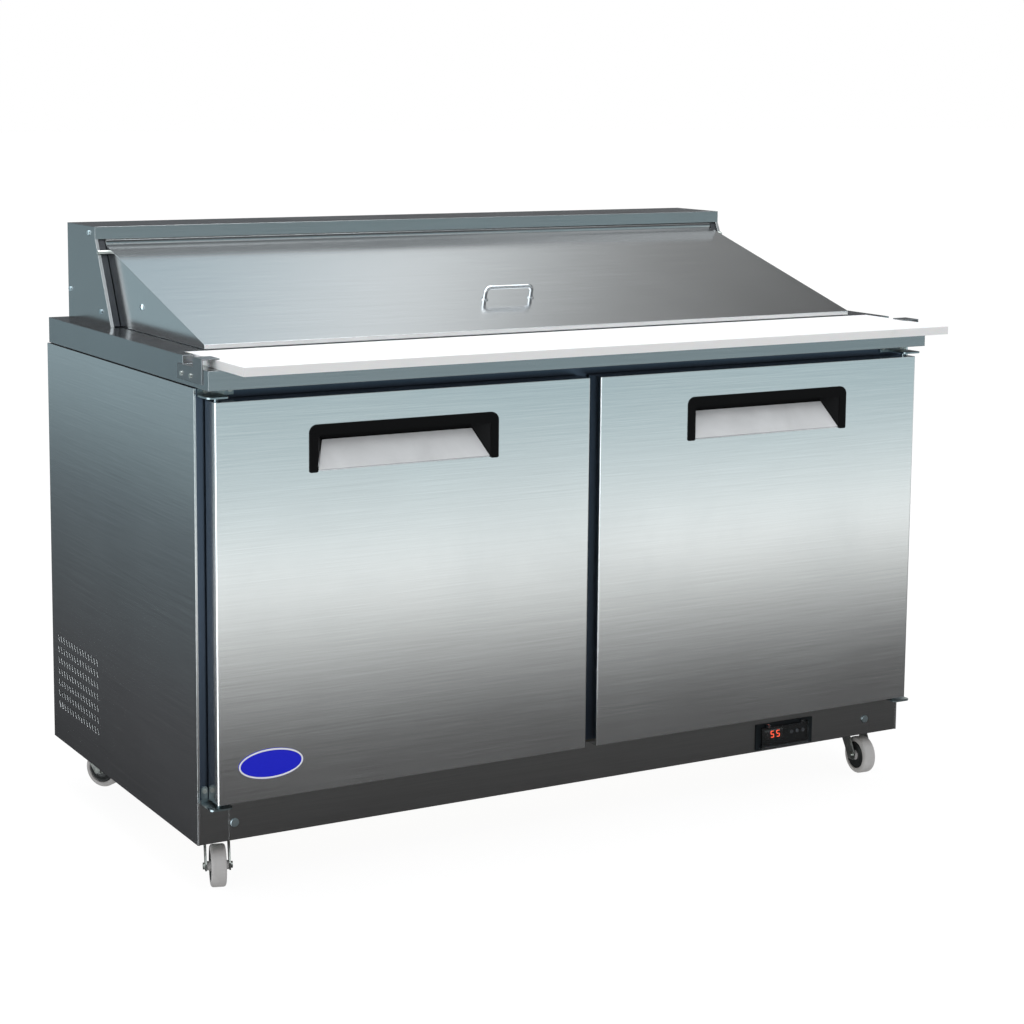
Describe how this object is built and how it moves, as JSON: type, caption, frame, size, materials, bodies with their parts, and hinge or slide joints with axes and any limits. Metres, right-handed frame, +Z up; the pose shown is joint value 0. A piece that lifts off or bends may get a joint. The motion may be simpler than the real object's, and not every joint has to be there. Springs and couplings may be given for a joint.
{
  "type": "sandwich prep table",
  "caption": "Stainless refrigerated sandwich prep table on casters, with hinged doors, a sliding cutting board and a sloped lid over food pans.",
  "frame": {"origin": "on the floor, under the centre of the overall footprint", "axes": "+X along the worktop to the user's right, +Y from the user to the rear hood, +Z up"},
  "size_m": [1.5384, 0.915, 1.126],
  "materials": {
    "stainless": "brushed, satin",
    "stainless_dark": "brushed, satin",
    "galvanised": "spangled zinc, satin",
    "zinc": "zinc plated",
    "board_white": "fine matt, white polyethylene",
    "foam": "cut foam",
    "liner_white": "smooth, satin white",
    "liner_metal": "stucco embossed",
    "gasket": "soft, matt grey",
    "handle_black": "fine grain, black",
    "badge": "gloss blue enamel with a pale rim",
    "wire": "coated wire",
    "coil": "mill finish fins",
    "copper": "drawn copper tube",
    "compressor_black": "satin black paint",
    "fan_black": "moulded black",
    "motor": "cast and painted",
    "control_black": "fine grain, black",
    "cover_clear": "clear plastic",
    "button_grey": "soft keys",
    "wheel": "grey tread with a black hub",
    "pan_steel": "bright, drawn"
  },
  "bodies": {
    "cabinet": {"rear_panel": "galvanised", "condensate_pan": "galvanised", "side_panel_left": "stainless", "side_panel_right": "stainless", "worktop": "stainless", "hood_box": "stainless", "face_frame": "stainless_dark", "kick_panel": "stainless_dark", "base_frame": "stainless_dark", "inner_liner": "liner_metal", "evaporator_cover": "liner_metal", "insulation": "foam", "panel_bolts": "zinc", "bracket_screws": "zinc", "door_hinge_brackets": "zinc", "lid_hinge_pins": "zinc", "caster_plates": "zinc", "pans_front_row": "pan_steel", "pans_middle_row": "pan_steel", "pans_rear_row": "pan_steel", "divider_bars": "pan_steel", "board_brackets": "stainless", "shelf_left": "wire", "shelf_right": "wire", "shelf_supports": "galvanised", "evaporator_coil": "coil", "condenser_coil": "coil", "fan_motors": "motor", "compressor": "compressor_black", "refrigerant_tubes": "copper", "power_inlet": "control_black", "controller_bezel": "control_black", "controller_body": "control_black"},
    "board": {"cutting_board": "board_white"},
    "lid": {"lid_skin": "stainless", "lid_liner": "liner_white", "lid_handle": "stainless"},
    "door_left": {"door_left_skin": "stainless", "door_left_liner": "liner_white", "door_left_gasket": "gasket", "door_left_handle": "handle_black", "door_badge": "badge"},
    "door_right": {"door_right_skin": "stainless", "door_right_liner": "liner_white", "door_right_gasket": "gasket", "door_right_handle": "handle_black"},
    "evaporator_fan": {"evaporator_fan": "fan_black"},
    "condenser_fan": {"condenser_fan": "fan_black"},
    "controller_cover": {"controller_cover": "cover_clear"},
    "button_set": {"button_set": "button_grey"},
    "button_down": {"button_down": "button_grey"},
    "button_up": {"button_up": "button_grey"},
    "caster_front_left_fork": {"caster_front_left_fork": "zinc"},
    "caster_front_left_wheel": {"caster_front_left_wheel": "wheel"},
    "caster_front_right_fork": {"caster_front_right_fork": "zinc"},
    "caster_front_right_wheel": {"caster_front_right_wheel": "wheel"},
    "caster_rear_left_fork": {"caster_rear_left_fork": "zinc"},
    "caster_rear_left_wheel": {"caster_rear_left_wheel": "wheel"},
    "caster_rear_right_fork": {"caster_rear_right_fork": "zinc"},
    "caster_rear_right_wheel": {"caster_rear_right_wheel": "wheel"}
  },
  "joints": [
    {"name": "door_left_hinge", "type": "hinge", "parent": "cabinet", "child": "door_left", "pos_m": [-0.738, -0.3305, 0.522], "axis": [0, 0, -1], "range_deg": [0, 110]},
    {"name": "door_right_hinge", "type": "hinge", "parent": "cabinet", "child": "door_right", "pos_m": [0.738, -0.3305, 0.522], "axis": [0, 0, 1], "range_deg": [0, 110]},
    {"name": "lid_hinge", "type": "hinge", "parent": "cabinet", "child": "lid", "pos_m": [0, 0.2845, 1.078], "axis": [-1, 0, 0], "range_deg": [0, 72]},
    {"name": "board_slide", "type": "slide", "parent": "cabinet", "child": "board", "axis": [0, -1, 0], "range_m": [0, 0.106]},
    {"name": "controller_cover_hinge", "type": "hinge", "parent": "cabinet", "child": "controller_cover", "pos_m": [0.4825, -0.312, 0.143], "axis": [-1, 0, 0], "range_deg": [0, 100]},
    {"name": "evaporator_fan_spin", "type": "hinge", "parent": "cabinet", "child": "evaporator_fan", "pos_m": [0, 0.3445, 0.664], "axis": [0, 1, 0], "continuous": true},
    {"name": "condenser_fan_spin", "type": "hinge", "parent": "cabinet", "child": "condenser_fan", "pos_m": [-0.572, 0.3145, 0.232], "axis": [1, 0, 0], "continuous": true},
    {"name": "button_set_press", "type": "slide", "parent": "cabinet", "child": "button_set", "axis": [0, 1, 0], "range_m": [0, 0.0012], "stiffness_N_per_m": 400},
    {"name": "button_down_press", "type": "slide", "parent": "cabinet", "child": "button_down", "axis": [0, 1, 0], "range_m": [0, 0.0012], "stiffness_N_per_m": 400},
    {"name": "button_up_press", "type": "slide", "parent": "cabinet", "child": "button_up", "axis": [0, 1, 0], "range_m": [0, 0.0012], "stiffness_N_per_m": 400},
    {"name": "caster_front_left_swivel", "type": "hinge", "parent": "cabinet", "child": "caster_front_left_fork", "pos_m": [-0.709, -0.2435, 0.08], "axis": [0, 0, 1], "continuous": true},
    {"name": "caster_front_left_roll", "type": "hinge", "parent": "caster_front_left_fork", "child": "caster_front_left_wheel", "pos_m": [-0.71734, -0.26918, 0.0375], "axis": [0.9511, -0.309, 0], "continuous": true},
    {"name": "caster_front_right_swivel", "type": "hinge", "parent": "cabinet", "child": "caster_front_right_fork", "pos_m": [0.709, -0.2435, 0.08], "axis": [0, 0, 1], "continuous": true},
    {"name": "caster_front_right_roll", "type": "hinge", "parent": "caster_front_right_fork", "child": "caster_front_right_wheel", "pos_m": [0.70712, -0.27043, 0.0375], "axis": [0.9976, -0.0698, 0], "continuous": true},
    {"name": "caster_rear_left_swivel", "type": "hinge", "parent": "cabinet", "child": "caster_rear_left_fork", "pos_m": [-0.709, 0.3945, 0.08], "axis": [0, 0, 1], "continuous": true},
    {"name": "caster_rear_left_roll", "type": "hinge", "parent": "caster_rear_left_fork", "child": "caster_rear_left_wheel", "pos_m": [-0.69351, 0.37238, 0.0375], "axis": [0.8192, 0.5736, 0], "continuous": true},
    {"name": "caster_rear_right_swivel", "type": "hinge", "parent": "cabinet", "child": "caster_rear_right_fork", "pos_m": [0.709, 0.3945, 0.08], "axis": [0, 0, 1], "continuous": true},
    {"name": "caster_rear_right_roll", "type": "hinge", "parent": "caster_rear_right_fork", "child": "caster_rear_right_wheel", "pos_m": [0.68363, 0.40374, 0.0375], "axis": [-0.342, -0.9397, 0], "continuous": true}
  ]
}
